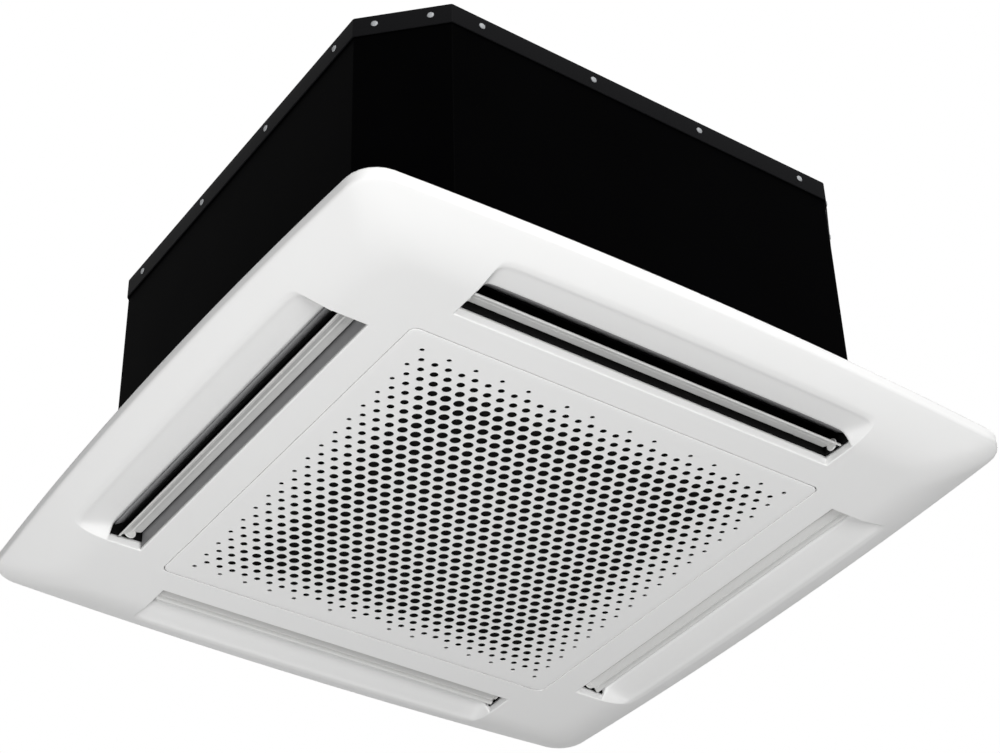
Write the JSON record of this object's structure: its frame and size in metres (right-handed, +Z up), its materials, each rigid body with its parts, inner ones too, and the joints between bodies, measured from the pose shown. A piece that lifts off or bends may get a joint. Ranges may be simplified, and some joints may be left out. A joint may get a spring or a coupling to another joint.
{
  "type": "ceiling cassette air conditioner",
  "caption": "Square four-way ceiling cassette air conditioner: a domed white panel with perforated drop-down grille and tilting vanes under a black octagonal cabinet.",
  "frame": {"origin": "centre of the panel, on the plane of the ceiling surface that the panel rim closes against", "axes": "+Z up into the ceiling void, square to the panel; +X towards the side with the refrigerant pipes, +Y towards the side with the drain port and the grille hinge"},
  "size_m": [0.72, 0.72, 0.333],
  "materials": {
    "panel_white": "satin white moulded plastic",
    "small_white": "white moulded plastic",
    "vane_silver": "light grey moulded plastic",
    "grey_plastic": "mid-grey moulded plastic",
    "filter_mesh": "dark woven filter mesh in a plastic frame",
    "black_foam": "black closed-cell foam",
    "pan_foam": "charcoal expanded foam with a moulded skin",
    "bright_steel": "turned steel",
    "motor_steel": "grey painted motor housing",
    "cabinet_rim": "dark painted sheet steel",
    "cabinet_black": "matt black painted sheet steel",
    "zinc_steel": "zinc-plated sheet steel",
    "black_rubber": "black rubber",
    "black_plastic": "black moulded plastic",
    "coil_aluminium": "thin aluminium fins",
    "copper": "drawn copper tube",
    "brass": "machined brass",
    "pale_hose": "pale flexible hose",
    "green_board": "green circuit board"
  },
  "bodies": {
    "root": {"panel_frame": "panel_white", "float_stem": "small_white", "air_sensor": "small_white", "vane_motor_right": "grey_plastic", "vane_motor_back": "grey_plastic", "vane_motor_left": "grey_plastic", "vane_motor_front": "grey_plastic", "panel_gasket": "black_foam", "insulation_liner": "black_foam", "drain_pan": "pan_foam", "fan_motor": "motor_steel", "latch_body_left": "grey_plastic", "latch_body_right": "grey_plastic", "drain_port": "grey_plastic", "top_plate": "cabinet_rim", "side_sheet_right_back": "cabinet_black", "side_sheet_left_front": "cabinet_black", "hanger_bracket_back_right": "zinc_steel", "hanger_bracket_back_left": "zinc_steel", "hanger_bracket_front_left": "zinc_steel", "hanger_bracket_front_right": "zinc_steel", "drain_plug": "black_rubber", "motor_bush_1": "black_rubber", "motor_bush_2": "black_rubber", "motor_bush_3": "black_rubber", "bell_mouth": "black_plastic", "drain_pump": "black_plastic", "terminal_block": "black_plastic", "cable_gland": "black_plastic", "coil_end_plate_right": "zinc_steel", "coil_end_plate_back": "zinc_steel", "coil_partition": "zinc_steel", "pipe_plate": "zinc_steel", "pump_bracket": "zinc_steel", "control_box": "zinc_steel", "control_box_cover": "zinc_steel", "capacitor": "zinc_steel", "coil_fins": "coil_aluminium", "gas_header": "copper", "gas_pipe": "copper", "liquid_pipe": "copper", "liquid_distributor": "brass", "gas_flare_nut": "brass", "liquid_flare_nut": "brass", "drain_hose": "pale_hose", "circuit_board": "green_board"},
    "fan": {"turbo_fan": "black_plastic", "fan_nut": "zinc_steel", "motor_shaft": "bright_steel"},
    "grille": {"intake_grille": "panel_white", "air_filter": "filter_mesh", "hinge_pin_left": "bright_steel", "hinge_pin_right": "bright_steel"},
    "latch_plunger_left": {"latch_plunger_left": "small_white"},
    "latch_plunger_right": {"latch_plunger_right": "small_white"},
    "float": {"float": "small_white"},
    "vane_right": {"vane_right": "vane_silver"},
    "vane_back": {"vane_back": "vane_silver"},
    "vane_left": {"vane_left": "vane_silver"},
    "vane_front": {"vane_front": "vane_silver"}
  },
  "joints": [
    {"name": "fan_spin", "type": "hinge", "parent": "root", "child": "fan", "pos_m": [0, 0, 0.2], "axis": [0, 0, 1], "continuous": true},
    {"name": "vane_right_tilt", "type": "hinge", "parent": "root", "child": "vane_right", "pos_m": [0.2705, 0, -0.017], "axis": [0, -1, 0], "range_deg": [-35, 43]},
    {"name": "vane_back_tilt", "type": "hinge", "parent": "root", "child": "vane_back", "pos_m": [0, 0.2705, -0.017], "axis": [1, 0, 0], "range_deg": [-35, 43]},
    {"name": "vane_left_tilt", "type": "hinge", "parent": "root", "child": "vane_left", "pos_m": [-0.2705, 0, -0.017], "axis": [0, 1, 0], "range_deg": [-35, 43]},
    {"name": "vane_front_tilt", "type": "hinge", "parent": "root", "child": "vane_front", "pos_m": [0, -0.2705, -0.017], "axis": [-1, 0, 0], "range_deg": [-35, 43]},
    {"name": "grille_swing", "type": "hinge", "parent": "root", "child": "grille", "pos_m": [0, 0.214, -0.0275], "axis": [1, 0, 0], "range_deg": [0, 85]},
    {"name": "latch_left_press", "type": "slide", "parent": "root", "child": "latch_plunger_left", "axis": [0, 0, 1], "range_m": [0, 0.004], "stiffness_N_per_m": 500, "springref_m": -0.001},
    {"name": "latch_right_press", "type": "slide", "parent": "root", "child": "latch_plunger_right", "axis": [0, 0, 1], "range_m": [0, 0.004], "stiffness_N_per_m": 500, "springref_m": -0.001},
    {"name": "float_lift", "type": "slide", "parent": "root", "child": "float", "axis": [0, 0, 1], "range_m": [0, 0.01]}
  ]
}
